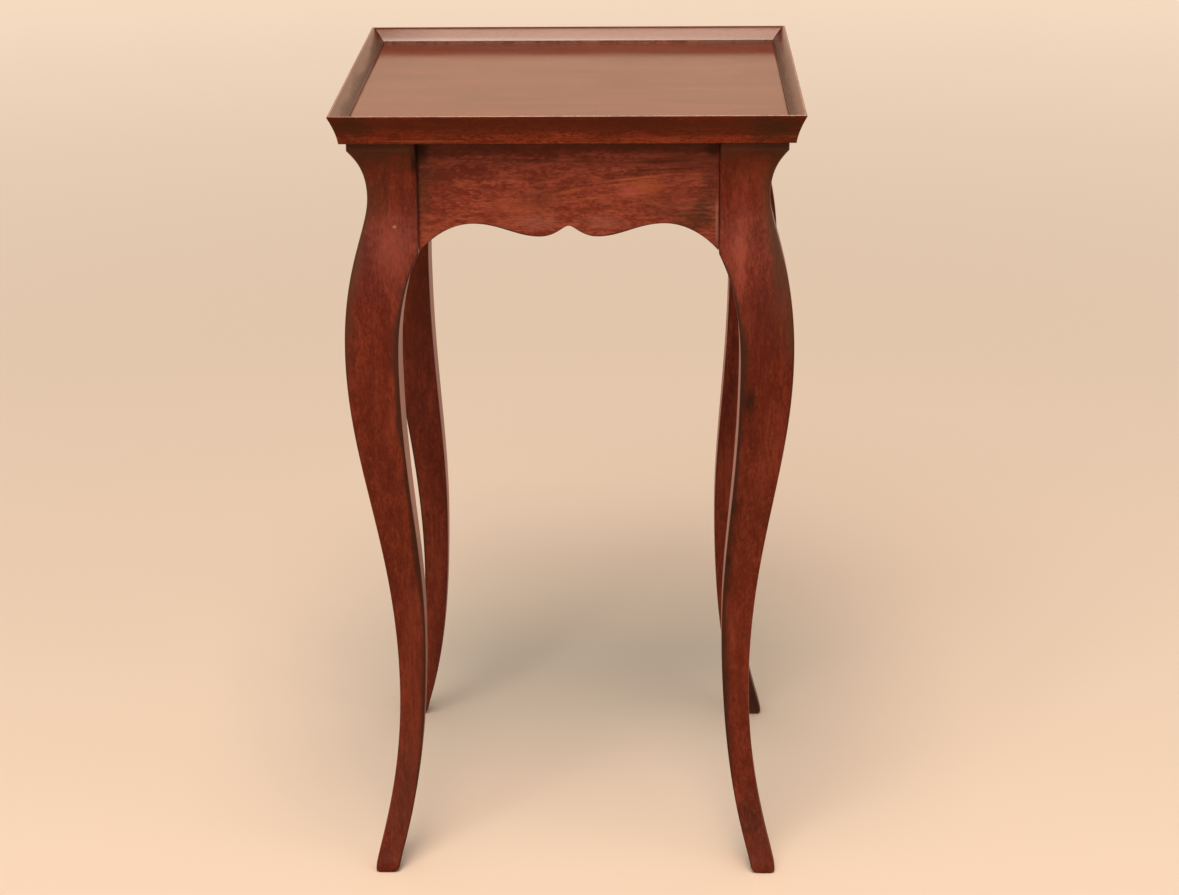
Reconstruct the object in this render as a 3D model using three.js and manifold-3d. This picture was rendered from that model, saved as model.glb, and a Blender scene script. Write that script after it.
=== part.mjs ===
// Accent table: a square tray top on a scalloped frame and four cabriole legs.
// Millimetres, +Z up, front towards -Y. The origin is on the floor under the middle of the table.
// Each corner and each side is made once, for the back right corner and the back side, and then
// turned into its four places by quarter turns.
import * as THREE from 'three';
import { mergeVertices } from 'three/addons/utils/BufferGeometryUtils.js';
import Module from 'manifold-3d';

const wasm = await Module();
wasm.setup();

// Clearances and tool overrun
const seatGap = 0.3; // between any two pieces that seat on each other
const cutOverrun = 5; // how far a cutter runs past the face that it opens

// Tray: four mitred mouldings round a rabbeted panel
const topWidth = 356; // lip to lip, both ways
const rimHeight = 22.7;
const noseRadius = 1.3; // rounded lip of the moulding
const coveReach = 7.2; // lip beyond the foot of the moulding
const coveLean = 1.1; // how far the cove has leaned out at its control height
const coveBend = 9.1; // control height of the cove above the foot
const bevelRun = 10.7; // sloping inner face, from the lip inwards
const bevelDrop = 10.2;
const panelThickness = 10;
const ledgeWidth = 10.5; // foot of the moulding under the panel's rabbet
const ledgeThickness = 5;

// Legs: sawn from square stock, the same curve on both faces. Reaches go out from the inner
// faces of the square post, heights go up from the floor, drops go down from the leg's top.
const legHeight = 612;
const topOverhang = 11.8; // lip beyond the crown of the leg
const crownReach = 52.2; // square post, with the flare at its top
const crownLip = 6.3; // upright edge above the flare
const neckReach = 39;
const neckDrop = 45;
const kneeReach = 58.2;
const kneeDrop = 165;
const ankleReach = 27.6;
const ankleHeight = 158;
const footReach = 50.2;
const footHeel = 30.6; // inner edge of the foot
const hollowReach = 5.1; // inner edge at its thinnest, over the ankle
const hollowHeight = 212;
const hockReach = 16.9; // inner edge behind the knee
const hockDrop = 174;
const arrisRadius = 2; // eased long edges
const footEase = 2.2; // eased edge under the foot, inwards
const footEaseHeight = 5.5;

// Aprons: scalloped boards, tenoned into the posts
const apronThickness = 19;
const apronSetback = 2; // apron face behind the neck of the leg
const apronEndDepth = 87.5; // at the post, where the leg's inner curve starts
const archDepth = 66.2; // at the top of each arch
const lobeDepth = 76.4; // at the two low points by the middle
const peakDepth = 67.9; // at the small peak in the middle
const tenonThickness = 8;
const tenonShoulder = 9; // above and below the tenon
const mortiseWeb = 3; // wood left between a leg's two mortises

// Corner blocks and their screws
const blockContact = 30; // glued length along each apron
const blockHeight = 19;
const screwLength = 22; // under the head
const shankRadius = 2;
const pointLength = 5;
const headRadius = 4;
const headHeight = 2.6;
const apronBite = 13; // screw point inside the apron
const panelBite = 5.7; // screw point inside the panel

// Shares for the curves between the named sizes above. A pair says how far along a curve its
// two handles stand; a bend says how much of the curve's rise its second handle has made.
const footHandleShares = [0.08, 0.42];
const calfHandleShares = [0.42, 0.68];
const kneeHandleShares = [0.58, 0.79];
const flareHandleShares = [0.57, 0.83];
const flareBendShare = 0.645;
const heelHandleShares = [0.08, 0.29];
const hollowHandleShares = [0.31, 0.57];
const hockHandleShares = [0.15, 0.63];
const hockBendShare = 0;
const lobeShare = 0.193; // place of the low point, of the half apron
const archShare = 0.64; // place of the arch top, of the half apron
const peakHandleShares = [0.182, 0.455];
const waveHandleShares = [0.355, 0.605];
const endHandleShares = [0.39, 0.756];
const endBendShare = 0.448;

// Counts
const legSteps = 10; // in each curve of the leg's outer edge
const innerSteps = 24; // in each curve of its inner edge, read between points
const scallopSteps = 12;
const arrisSteps = 3;
const coveSteps = 8;
const roundSides = 16;

// Sizes that follow from the ones above
const quarterTurn = Math.PI / 2;
const lipReach = topWidth / 2;
const postFace = lipReach - topOverhang - crownReach; // inner faces of the posts, from the middle
const trayFloor = legHeight + seatGap; // underside of the tray
const wallReach = lipReach - bevelRun;
const ledgeReach = wallReach - ledgeWidth;
const apronOuter = postFace + neckReach - apronSetback;
const apronInner = apronOuter - apronThickness;
const halfApron = postFace - seatGap;
const neckHeight = legHeight - neckDrop;
const kneeHeight = legHeight - kneeDrop;
const hockHeight = legHeight - hockDrop;
const postFoot = legHeight - apronEndDepth; // where the leg's inner curve leaves the post
const tenonInner = apronInner + (apronThickness - tenonThickness) / 2;
const tenonEnd = tenonInner - seatGap - mortiseWeb - seatGap;
const tenonDrop = apronEndDepth - tenonShoulder;
const blockOuter = apronInner - seatGap;
const blockFar = 2 * (postFace - seatGap) - blockOuter; // contact nearest the post
const blockNear = blockFar - blockContact;
const blockFoot = legHeight - blockHeight;
const blockMiddle = (blockOuter + (blockFar + blockNear) / 2) / 2;
const boreRadius = shankRadius + seatGap;
const sinkRadius = headRadius + seatGap;

const mahogany = new THREE.MeshStandardMaterial({ color: 0x6e2a1c, roughness: 0.34, metalness: 0 });
const trayFinish = new THREE.MeshStandardMaterial({ color: 0x6a3020, roughness: 0.22, metalness: 0 });
const blockWood = new THREE.MeshStandardMaterial({ color: 0xb98c5c, roughness: 0.7, metalness: 0 });
const zincSteel = new THREE.MeshStandardMaterial({ color: 0xa9a79c, roughness: 0.4, metalness: 1 });

// Solids, for the cuts and joins
function solidOf(geometry) {
  const bare = geometry.clone();
  bare.deleteAttribute('normal');
  bare.deleteAttribute('uv');
  const merged = mergeVertices(bare);
  return new wasm.Manifold(new wasm.Mesh({
    numProp: 3,
    vertProperties: new Float32Array(merged.attributes.position.array),
    triVerts: new Uint32Array(merged.index.array),
  }));
}

function geometryOf(solid) {
  const { vertProperties, triVerts } = solid.getMesh();
  const geometry = new THREE.BufferGeometry();
  geometry.setAttribute('position', new THREE.BufferAttribute(vertProperties, 3));
  geometry.setIndex(new THREE.BufferAttribute(triVerts, 1));
  geometry.computeVertexNormals();
  return geometry;
}

function boxBetween(low, high) {
  const size = new THREE.Vector3().subVectors(high, low);
  const middle = new THREE.Vector3().addVectors(low, high).multiplyScalar(1 / 2);
  const geometry = new THREE.BoxGeometry(size.x, size.y, size.z);
  return solidOf(geometry.translate(middle.x, middle.y, middle.z));
}

// A round bar from one point to another, for bores and counterbores
function roundBar(radius, from, to) {
  const way = new THREE.Vector3().subVectors(to, from);
  const geometry = new THREE.CylinderGeometry(radius, radius, way.length(), roundSides);
  const up = new THREE.Vector3(0, 1, 0);
  geometry.applyQuaternion(new THREE.Quaternion().setFromUnitVectors(up, way.clone().normalize()));
  const middle = new THREE.Vector3().addVectors(from, to).multiplyScalar(1 / 2);
  return solidOf(geometry.translate(middle.x, middle.y, middle.z));
}

// Screws seat in the blocks: one up into the panel, one into the apron on each side
const topScrewSeat = new THREE.Vector3(blockMiddle, blockMiddle, trayFloor + panelBite - screwLength);
const sideScrewSeat = new THREE.Vector3(
  apronInner + apronBite - screwLength,
  (blockFar + blockNear) / 2,
  blockFoot + blockHeight / 2,
);
const backScrewSeat = new THREE.Vector3(sideScrewSeat.y, sideScrewSeat.x, sideScrewSeat.z);
const upwards = new THREE.Vector3(0, 0, 1);
const sidewards = new THREE.Vector3(1, 0, 0);
const backwards = new THREE.Vector3(0, 1, 0);

// The hole that a screw runs in: a bore past its point and a counterbore behind its seat
function screwBore(seat, direction) {
  const end = seat.clone().addScaledVector(direction, screwLength + seatGap);
  return roundBar(boreRadius, seat.clone().addScaledVector(direction, -seatGap), end);
}

function screwSink(seat, direction) {
  const mouth = seat.clone().addScaledVector(direction, -(sinkRadius + headHeight + cutOverrun));
  return roundBar(sinkRadius, mouth, seat);
}

// Leg: the two sawn edges as curves of reach against height
function mix(from, to, share) {
  return from + (to - from) * share;
}

// From where the path stands to its next end, level with the start at the first handle
function curveTo(path, end, handleShares, bendShare = 1) {
  const start = path.currentPoint.clone();
  path.bezierCurveTo(
    mix(start.x, end[0], handleShares[0]),
    start.y,
    mix(start.x, end[0], handleShares[1]),
    mix(start.y, end[1], bendShare),
    end[0],
    end[1],
  );
}

function outerEdge() {
  const path = new THREE.Path();
  path.moveTo(0, footReach);
  curveTo(path, [ankleHeight, ankleReach], footHandleShares);
  curveTo(path, [kneeHeight, kneeReach], calfHandleShares);
  curveTo(path, [neckHeight, neckReach], kneeHandleShares);
  curveTo(path, [legHeight - crownLip, crownReach], flareHandleShares, flareBendShare);
  path.lineTo(legHeight, crownReach);
  return path.getPoints(legSteps);
}

function innerEdge() {
  const path = new THREE.Path();
  path.moveTo(0, footHeel);
  curveTo(path, [hollowHeight, hollowReach], heelHandleShares);
  curveTo(path, [hockHeight, hockReach], hollowHandleShares);
  curveTo(path, [postFoot, 0], hockHandleShares, hockBendShare);
  path.lineTo(legHeight, 0);
  return path.getPoints(innerSteps);
}

// Reach of an edge at a height, read between its points
function reachAt(edge, height) {
  const next = Math.max(1, edge.findIndex((point) => point.x >= height));
  const [lower, upper] = [edge[next - 1], edge[next]];
  return mix(lower.y, upper.y, (height - lower.x) / (upper.x - lower.x));
}

// Heights of the cross-sections: the outer edge's own points, and where the foot and post start
function stationHeights(outer) {
  const changes = [footEaseHeight / 3, footEaseHeight, postFoot];
  const apart = (height) => Math.min(...changes.map((change) => Math.abs(change - height)));
  const own = outer.map((point) => point.x).filter((height) => apart(height) > footEase / 2);
  return [...own, ...changes].sort((a, b) => a - b);
}

// Square section with eased arrises, anticlockwise seen from above
function legSection(low, high, height) {
  const section = [];
  const centres = [
    [high - arrisRadius, high - arrisRadius],
    [low + arrisRadius, high - arrisRadius],
    [low + arrisRadius, low + arrisRadius],
    [high - arrisRadius, low + arrisRadius],
  ];
  centres.forEach(([x, y], corner) => {
    for (let step = 0; step <= arrisSteps; step += 1) {
      const angle = quarterTurn * (corner + step / arrisSteps);
      section.push(new THREE.Vector3(
        postFace + x + arrisRadius * Math.cos(angle),
        postFace + y + arrisRadius * Math.sin(angle),
        height,
      ));
    }
  });
  return section;
}

// Closed skin through sections of equal count, with flat ends
function loft(sections) {
  const count = sections[0].length;
  const corners = sections.flat();
  const faces = [];
  for (let level = 0; level < sections.length - 1; level += 1) {
    for (let side = 0; side < count; side += 1) {
      const a = level * count + side;
      const b = level * count + ((side + 1) % count);
      faces.push(a, b, b + count, a, b + count, a + count);
    }
  }
  const top = (sections.length - 1) * count;
  for (let side = 1; side < count - 1; side += 1) {
    faces.push(0, side + 1, side);
    faces.push(top, top + side, top + side + 1);
  }
  const geometry = new THREE.BufferGeometry().setFromPoints(corners);
  geometry.setIndex(faces);
  return geometry;
}

function makeLeg() {
  const outer = outerEdge();
  const inner = innerEdge();
  const sections = stationHeights(outer).map((height) => {
    const ease = footEase * Math.max(0, 1 - height / footEaseHeight) ** 2;
    return legSection(reachAt(inner, height) + ease, reachAt(outer, height) - ease, height);
  });
  const low = new THREE.Vector3(
    postFace - cutOverrun,
    tenonInner - seatGap,
    legHeight - tenonDrop - seatGap,
  );
  const high = new THREE.Vector3(
    tenonEnd + seatGap,
    tenonInner + tenonThickness + seatGap,
    legHeight - tenonShoulder + seatGap,
  );
  const sideMortise = boxBetween(low, high);
  const backMortise = boxBetween(
    new THREE.Vector3(low.y, low.x, low.z),
    new THREE.Vector3(high.y, high.x, high.z),
  );
  return geometryOf(solidOf(loft(sections)).subtract(sideMortise).subtract(backMortise));
}

// Apron: board with a scalloped lower edge, top edge along zero, from its middle to one end
function scallop() {
  const path = new THREE.Path();
  path.moveTo(0, -peakDepth);
  curveTo(path, [halfApron * lobeShare, -lobeDepth], peakHandleShares);
  curveTo(path, [halfApron * archShare, -archDepth], waveHandleShares);
  curveTo(path, [halfApron, -apronEndDepth], endHandleShares, endBendShare);
  return path.getPoints(scallopSteps);
}

function makeApron() {
  const half = scallop();
  const mirrored = half.slice(1).reverse().map((point) => new THREE.Vector2(-point.x, point.y));
  const outline = [new THREE.Vector2(-halfApron, 0), ...mirrored, ...half, new THREE.Vector2(halfApron, 0)];
  const board = new THREE.ExtrudeGeometry(new THREE.Shape(outline), {
    depth: apronThickness,
    bevelEnabled: false,
  });
  board.rotateX(quarterTurn);
  board.translate(0, apronOuter, legHeight);
  let apron = solidOf(board);
  const shoulders = halfApron - mortiseWeb;
  for (const side of [-1, 1]) {
    const reach = [side * shoulders, side * tenonEnd].sort((a, b) => a - b);
    apron = apron.add(boxBetween(
      new THREE.Vector3(reach[0], tenonInner, legHeight - tenonDrop),
      new THREE.Vector3(reach[1], tenonInner + tenonThickness, legHeight - tenonShoulder),
    ));
    const seat = new THREE.Vector3(side * backScrewSeat.x, backScrewSeat.y, backScrewSeat.z);
    apron = apron.subtract(screwBore(seat, backwards));
  }
  return geometryOf(apron);
}

// Rim: one section swept along a side, both ends cut to the mitre
function rimSection() {
  const foot = lipReach - coveReach;
  const slope = Math.atan2(bevelDrop, bevelRun);
  const noseAngles = [-slope / 2, 0, quarterTurn / 2, quarterTurn, quarterTurn + slope / 2,
    quarterTurn + slope];
  const nose = noseAngles.map((angle) => new THREE.Vector2(
    lipReach - noseRadius + noseRadius * Math.cos(angle),
    rimHeight - noseRadius + noseRadius * Math.sin(angle),
  ));
  const cove = new THREE.QuadraticBezierCurve(
    new THREE.Vector2(foot, 0),
    new THREE.Vector2(foot + coveLean, coveBend),
    nose[0],
  );
  return [
    ...cove.getPoints(coveSteps),
    ...nose.slice(1),
    new THREE.Vector2(wallReach, rimHeight - bevelDrop),
    new THREE.Vector2(wallReach, ledgeThickness),
    new THREE.Vector2(ledgeReach, ledgeThickness),
    new THREE.Vector2(ledgeReach, 0),
  ];
}

function makeRim() {
  const geometry = new THREE.ExtrudeGeometry(new THREE.Shape(rimSection()), {
    depth: 1,
    bevelEnabled: false,
  });
  const place = geometry.attributes.position;
  for (let index = 0; index < place.count; index += 1) {
    const reach = place.getX(index);
    const side = place.getZ(index) > 0 ? 1 : -1;
    place.setXYZ(index, side * (reach - seatGap), reach, place.getY(index) + trayFloor);
  }
  return geometryOf(solidOf(geometry));
}

function makePanel() {
  const plate = wallReach - seatGap;
  const core = ledgeReach - seatGap;
  const rabbet = trayFloor + ledgeThickness + seatGap;
  let panel = boxBetween(
    new THREE.Vector3(-plate, -plate, rabbet),
    new THREE.Vector3(plate, plate, trayFloor + panelThickness),
  );
  panel = panel.add(boxBetween(
    new THREE.Vector3(-core, -core, trayFloor),
    new THREE.Vector3(core, core, rabbet + seatGap),
  ));
  for (const x of [-1, 1]) {
    for (const y of [-1, 1]) {
      const seat = new THREE.Vector3(x * topScrewSeat.x, y * topScrewSeat.y, topScrewSeat.z);
      panel = panel.subtract(screwBore(seat, upwards));
    }
  }
  return geometryOf(panel);
}

// Corner block: a bar across the corner, its ends glued and screwed to the aprons
function makeBlock() {
  const plan = new THREE.Shape([
    new THREE.Vector2(blockOuter, blockNear),
    new THREE.Vector2(blockOuter, blockFar),
    new THREE.Vector2(blockFar, blockOuter),
    new THREE.Vector2(blockNear, blockOuter),
  ]);
  const bar = new THREE.ExtrudeGeometry(plan, { depth: blockHeight, bevelEnabled: false });
  let block = solidOf(bar.translate(0, 0, blockFoot));
  const screws = [[topScrewSeat, upwards], [sideScrewSeat, sidewards], [backScrewSeat, backwards]];
  for (const [seat, direction] of screws) {
    block = block.subtract(screwBore(seat, direction)).subtract(screwSink(seat, direction));
  }
  return geometryOf(block);
}

// Pan head wood screw with its seat at the origin and its point along +Z
function makeScrew() {
  const rim = headRadius - headHeight / 3;
  const profile = [
    new THREE.Vector2(0, -headHeight),
    new THREE.Vector2(rim, -headHeight),
    new THREE.Vector2(headRadius, -headHeight / 2),
    new THREE.Vector2(headRadius, -seatGap),
    new THREE.Vector2(shankRadius, -seatGap),
    new THREE.Vector2(shankRadius, screwLength - pointLength),
    new THREE.Vector2(0, screwLength),
  ];
  return new THREE.LatheGeometry(profile, roundSides).rotateX(quarterTurn);
}

function placedScrew(name, seat, direction) {
  const screw = new THREE.Mesh(makeScrew(), zincSteel);
  screw.name = name;
  screw.position.copy(seat);
  screw.quaternion.setFromUnitVectors(upwards, direction);
  return screw;
}

function named(name, geometry, material) {
  const mesh = new THREE.Mesh(geometry, material);
  mesh.name = name;
  return mesh;
}

const table = new THREE.Group();
table.add(named('tray_panel', makePanel(), trayFinish));

const corners = ['back_right', 'back_left', 'front_left', 'front_right'];
const sides = ['back', 'left', 'front', 'right'];
const leg = makeLeg();
const apron = makeApron();
const rim = makeRim();
const block = makeBlock();

for (let turn = 0; turn < corners.length; turn += 1) {
  const quarter = new THREE.Group();
  quarter.rotation.z = quarterTurn * turn;
  quarter.add(named(`rim_${sides[turn]}`, rim, trayFinish));
  quarter.add(named(`apron_${sides[turn]}`, apron, mahogany));
  quarter.add(named(`leg_${corners[turn]}`, leg, mahogany));
  quarter.add(named(`corner_block_${corners[turn]}`, block, blockWood));
  quarter.add(placedScrew(`top_screw_${corners[turn]}`, topScrewSeat, upwards));
  quarter.add(placedScrew(`block_screw_${corners[turn]}_1`, sideScrewSeat, sidewards));
  quarter.add(placedScrew(`block_screw_${corners[turn]}_2`, backScrewSeat, backwards));
  table.add(quarter);
}

export default table;
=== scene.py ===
# Accent table: finer meshes and the finish of every piece, a plain studio and the camera.
# Metres, +Z up, front towards -Y. Each corner and each side is made once, for the back right
# corner and the back side, and then turned into its four places by quarter turns.
import math

import bmesh
import bpy
import numpy as np
from mathutils import Matrix, Vector


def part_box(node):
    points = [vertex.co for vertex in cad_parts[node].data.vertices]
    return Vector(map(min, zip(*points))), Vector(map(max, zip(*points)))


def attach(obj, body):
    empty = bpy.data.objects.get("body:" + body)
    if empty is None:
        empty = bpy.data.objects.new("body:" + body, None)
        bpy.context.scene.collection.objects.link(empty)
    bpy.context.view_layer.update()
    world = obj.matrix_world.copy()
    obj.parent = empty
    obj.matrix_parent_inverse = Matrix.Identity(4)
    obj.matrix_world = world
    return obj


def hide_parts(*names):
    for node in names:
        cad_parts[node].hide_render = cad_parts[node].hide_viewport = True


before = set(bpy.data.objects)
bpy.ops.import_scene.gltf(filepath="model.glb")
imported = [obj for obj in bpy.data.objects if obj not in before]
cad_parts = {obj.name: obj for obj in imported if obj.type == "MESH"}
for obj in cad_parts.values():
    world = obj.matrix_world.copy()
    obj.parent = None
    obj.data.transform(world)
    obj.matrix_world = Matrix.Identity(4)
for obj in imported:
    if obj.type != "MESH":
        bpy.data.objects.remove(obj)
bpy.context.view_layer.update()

MM = 0.001
CORNERS = ["back_right", "back_left", "front_left", "front_right"]
SIDES = ["back", "left", "front", "right"]
QUARTER_TURN = math.radians(90)

# Where the photograph was taken from
CAMERA_PLACE = Vector((61.5, -2172.0, 1074.1)) * MM
CAMERA_PITCH = math.radians(19.308)
CAMERA_YAW = math.radians(-1.334)
CAMERA_ROLL = math.radians(-0.476)
CAMERA_LENS = 83.78
SENSOR_WIDTH = 36.0

# Joints as a maker closes them, tighter than the part's own clearances
HAIRLINE = 0.06 * MM
JOINT_LINE = 0.2 * MM
CUT_OVERRUN = 5.0 * MM

# Legs
ARRIS_RADIUS = 2.0 * MM
FACE_CROWN = 0.35 * MM  # how far the middle of an outer face stands above its edges
FOOT_EASE = 3.0 * MM
FOOT_EASE_HEIGHT = 5.5 * MM
LEG_PITCH = 3.2 * MM  # between sections
ARRIS_STEPS = 5
FACE_STEPS = 6
FOOT_STEPS = 5
SECTION_POINTS = 16  # the least number of points in a whole section of the part's leg

CROWN_CLEAN = 0.45  # the toner, with painted shade under the tray, reaches further down from the crown than in from the outer arris
OUTER_BAND_FOOT = 470.0 * MM  # the toner along the outer arris fades below this height
OUTER_BAND_FADE = 0.15
INNER_BAND_HEIGHTS = (60.0 * MM, 190.0 * MM, 460.0 * MM, 540.0 * MM)
INNER_BAND_WIDENS = 4.5  # how much wider the dark line is along the inner arris between those

# Aprons
SCALLOP_EASE = 0.9 * MM
TENON_THICKNESS = 8.0 * MM
TENON_SHOULDER = 9.0 * MM
TENON_OVERLAP = 3.0 * MM
APRON_COLUMNS = 190
APRON_ROWS = 12
EASE_STEPS = 4

# Tray
NOSE_RADIUS = 0.9 * MM
LIP_RADIUS = 2.6 * MM  # the inner side of the nose
BEVEL_TOP_SLOPE = math.radians(44.5)  # the inner face is crowned: it steepens towards the panel
BEVEL_RUN = 10.7 * MM
BEVEL_DROP = 10.2 * MM
COVE_REACH = 7.2 * MM
COVE_LEAN = 1.1 * MM
COVE_BEND = 9.1 * MM
LEDGE_THICKNESS = 5.0 * MM
FOOT_ROUND = 0.5 * MM
PANEL_EASE = 0.4 * MM
PANEL_RINGS = (2, 5, 12, 30, 70)  # millimetres in from the edge, for an even top
COVE_STEPS = 20
BEVEL_STEPS = 10
NOSE_STEPS = 8
RIM_STEPS = 60
# What parts the rim's outside from its inside: a line that leans in from the nose by this share
# of the depth below the lip, as far as this from the outermost reach
CORE_LEAN = 0.6
CORE_REACH = 9.2 * MM

# Toner, wear, painted shade and painted highlight on the rim
RIM_LINE = 0.4 * MM  # width of the dark line along its edges
COVE_TONER_AND_SHADE_DEPTH = 7.0 * MM  # how far below the lip the cove is darkest, with toner and painted shade under the lip
SHADE_POOL_REACH = 7.5 * MM  # painted shade and dark reflection, drawn as toner, pool this far up the inner faces of the left and right rims
WALL_LINE = 0.5  # how far across such a line the front and back uprights are: 0 is darkest; there it is toner and painted shade in the recess by the panel
LIP_WEAR = 0.55 * MM  # the stain is rubbed pale, with a painted highlight, this far from the lip's outer arris
INNER_WEAR = 1.6 * MM  # and this far on its inner side
WEAR_ANGLE = math.radians(58)  # where round the nose the wear and painted highlight are greatest
WALL_WORN = 0.72  # the uprights are rubbed like the lip at this share of LIP_WEAR

# Corner blocks and screws
BLOCK_EASE = 0.7 * MM
BORE_RADIUS = 2.3 * MM
SINK_RADIUS = 4.3 * MM
SHANK_RADIUS = 2.0 * MM
CORE_RADIUS = 1.45 * MM
HEAD_RADIUS = 4.0 * MM
HEAD_HEIGHT = 2.6 * MM
HEAD_PROFILE = [(1.0, 0.3), (0.97, 0.62), (0.85, 0.85), (0.6, 0.97), (0.3, 1.0)]  # height, radius
POINT_LENGTH = 5.0 * MM
SCREW_TIP = 0.06 * MM
THREAD_PITCH = 1.8 * MM
PLAIN_SHANK = 5.0 * MM
SLOT_WIDTH = 1.1 * MM
SLOT_DEPTH = 1.5 * MM
SLOT_REACH = 2.3 * MM
ROUND_SIDES = 32
SCREW_SIDES = 20
THREAD_STEPS = 8  # rings in each turn of the thread
THREAD_FLANK = 4.0  # how steep the thread is, so that its ridge takes half the pitch

# Patterns in timber and finish: how often each changes in a metre, along the grain and across it
CLOUD = (8, 40)
RING_WAVE = (3, 9)
MOTTLE = (60, 170)
FLECK = (300, 760)
COARSE_FIBRE = (14, 520)
FINE_FIBRE = (60, 1700)
OPEN_PORES = (150, 2600)
UNEVEN_TONER = (22, 90)
MARK_FRINGE = (80, 520)
HANDLING = (14, 14)
HAZE = (160, 160)
RIPPLE = (90, 90)
ZINC_CLOUD = (900, 900)
RING_WAY = (0.0, 1.0, 0.6)  # the way across the growth rings
RING_COUNT = 95.0  # in a metre
RING_WANDER = 3.0
SAW_MARKS = 3600.0  # radians in a metre

# How much of each goes into a mixture
FLECK_SHARE = 1.5
FIBRE_SHARE = 0.3
HANDLING_SHARE = 0.14
HAZE_SHARE = 0.06
SAW_SHARE = 0.25
TIMBER_SHARE = 0.35  # of the relief under the lacquer

# How far each hides the colour below it
PORE_COVER = 0.55
BAND_COVER = 0.8
LINE_COVER = 0.85
WEAR_COVER = 0.75
BLOCK_STREAK_COVER = 0.4

# Each comes up, or fades, between these two values of its pattern
PORES_OPEN = (0.6, 0.7)
PORES_GROWN = (-0.8, 0.8)  # over a growth band
DARK_TO_MIDDLE = (0.3, 0.52)
MIDDLE_TO_LIGHT = (0.48, 0.72)
STREAKED = (0.36, 0.62)
BLOCK_STREAKED = (0.35, 0.65)
PLAIN_RANGE = (0.3, 0.7)  # bare wood and zinc, from dark to light
PATCHY_WEAR = (0.3, 0.55)
UNEVEN = (0.25, 0.75)
LINE_FADE = (0.2, 1.0)
BAND_FADE = (0.1, 1.1)
MARK_FADE = (0.1, 1.05)

FEWEST_PORES = 0.35  # share left between the growth bands
LEAST_WEAR = 0.5  # share left between the patches
TONER_SWELL = (0.4, 1.7)  # how the toner's reach varies

# Roughness and relief
LACQUER_IOR = 1.5
LINE_DULLS = 0.15
BARE_DULLS = 0.4
BLOCK_ROUGHNESS = 0.72
ZINC_ROUGHNESS = (0.5, 0.34)
BLOCK_RELIEF = 0.6
FINISH_DEPTH = 0.05 * MM
SAWN_DEPTH = 0.1 * MM

# Colours of the finish
PORE = (0.018, 0.005, 0.003)
# toner, and painted shade where it pools on the side rims
LINE_TONER_AND_SHADE = (0.034, 0.011, 0.004)
# rubbed stain, and painted highlight along the lip
LIP_RUBBED_AND_HIGHLIGHT = (0.36, 0.2, 0.145)
RAW_DARK = (0.2, 0.085, 0.042)
RAW_LIGHT = (0.33, 0.155, 0.08)
BLOCK_DARK = (0.36, 0.2, 0.1)
BLOCK_LIGHT = (0.5, 0.31, 0.17)
BLOCK_STREAK = (0.25, 0.13, 0.06)
ZINC_DARK = (0.42, 0.4, 0.35)
ZINC_LIGHT = (0.62, 0.6, 0.55)

# Colours of the marks
PALE_WEAR = (0.46, 0.25, 0.17)
# a pale scuff, and painted sheen on the toes
SCUFF_AND_TOE_SHEEN = (0.18, 0.058, 0.044)
# brown toner, and painted shade under the tray
BROWN_TONER_AND_SHADE = (0.055, 0.023, 0.009)
OLIVE_TONER = (0.032, 0.016, 0.007)
# dark stains, and painted shade on some marks
DARK_STAIN_AND_SHADE = (0.014, 0.006, 0.004)
# light figure, and a painted highlight on the front rim's foot
LIGHT_FLAME_AND_HIGHLIGHT = (0.4, 0.105, 0.038)
ORANGE_FLAME = (0.42, 0.105, 0.03)
PINK_FLAME = (0.43, 0.09, 0.062)
DUSTY_FLAME = (0.36, 0.135, 0.09)
DARK_FLAME = (0.075, 0.012, 0.006)
RED_FLAME = (0.25, 0.028, 0.012)
# painted highlight where the knees face up into the light
KNEE_PAINTED_HIGHLIGHT = (0.32, 0.066, 0.036)
FOOT_SHADE = (0.085, 0.02, 0.009)

MARK_DEPTH = 25.0  # millimetres into the wood, so that a mark stays on its own face

# How the pieces are cut from the timber
GRAIN_STEP = Vector((0.71, 0.37, 0.53))  # from one piece's place to the next one's
GRAIN_CUTS = 17
SHARP_ANGLE = math.radians(32)  # two faces that meet at more than this have an edge between them

# Studio. What a gloss sees is a darker room in front and a lighter one behind
FLOOR_SIZE = 60.0
FLOOR_SEEN = (0.8, 0.66, 0.53)
FLOOR_FAR_GLOW = (0.5, 0.39, 0.29)  # keeps the far floor as pale as the near floor
FLOOR_GLOW_STARTS = (0.2, 5.0)  # metres from the middle
FLOOR_GIVEN = (0.6, 0.36, 0.22)
GLOSS_FLOOR_FRONT = (0.3, 0.11, 0.05)
GLOSS_FLOOR_BACK = (0.6, 0.36, 0.27)
GLOSS_FLOOR_GLOW = (0.36, 0.2, 0.14)
GLOSS_FLOOR_TURN = (-0.3, 0.7)  # metres back, where the front floor turns into the back floor
GLOSS_RAIL = 0.15  # how bright the far floor and the foot of the far wall are beside the rest
GLOSS_RAIL_STARTS = (5.0, 14.0)  # metres back
GLOSS_RAIL_TOP = 0.05  # as the sine of the angle up to it
GLOSS_ROOM_FRONT = (0.28, 0.13, 0.07)
GLOSS_ROOM_BACK = (0.86, 0.585, 0.395)
GLOSS_ROOM_TURN = (-0.2, 0.6)  # the same on the wall, as the way back that a gloss looks
ROOM_SEEN = (0.85, 0.7, 0.55)
ROOM_LIGHT = (1.0, 0.96, 0.9)
ROOM_STRENGTH = 0.5
BLACK = (0.0, 0.0, 0.0)
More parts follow.
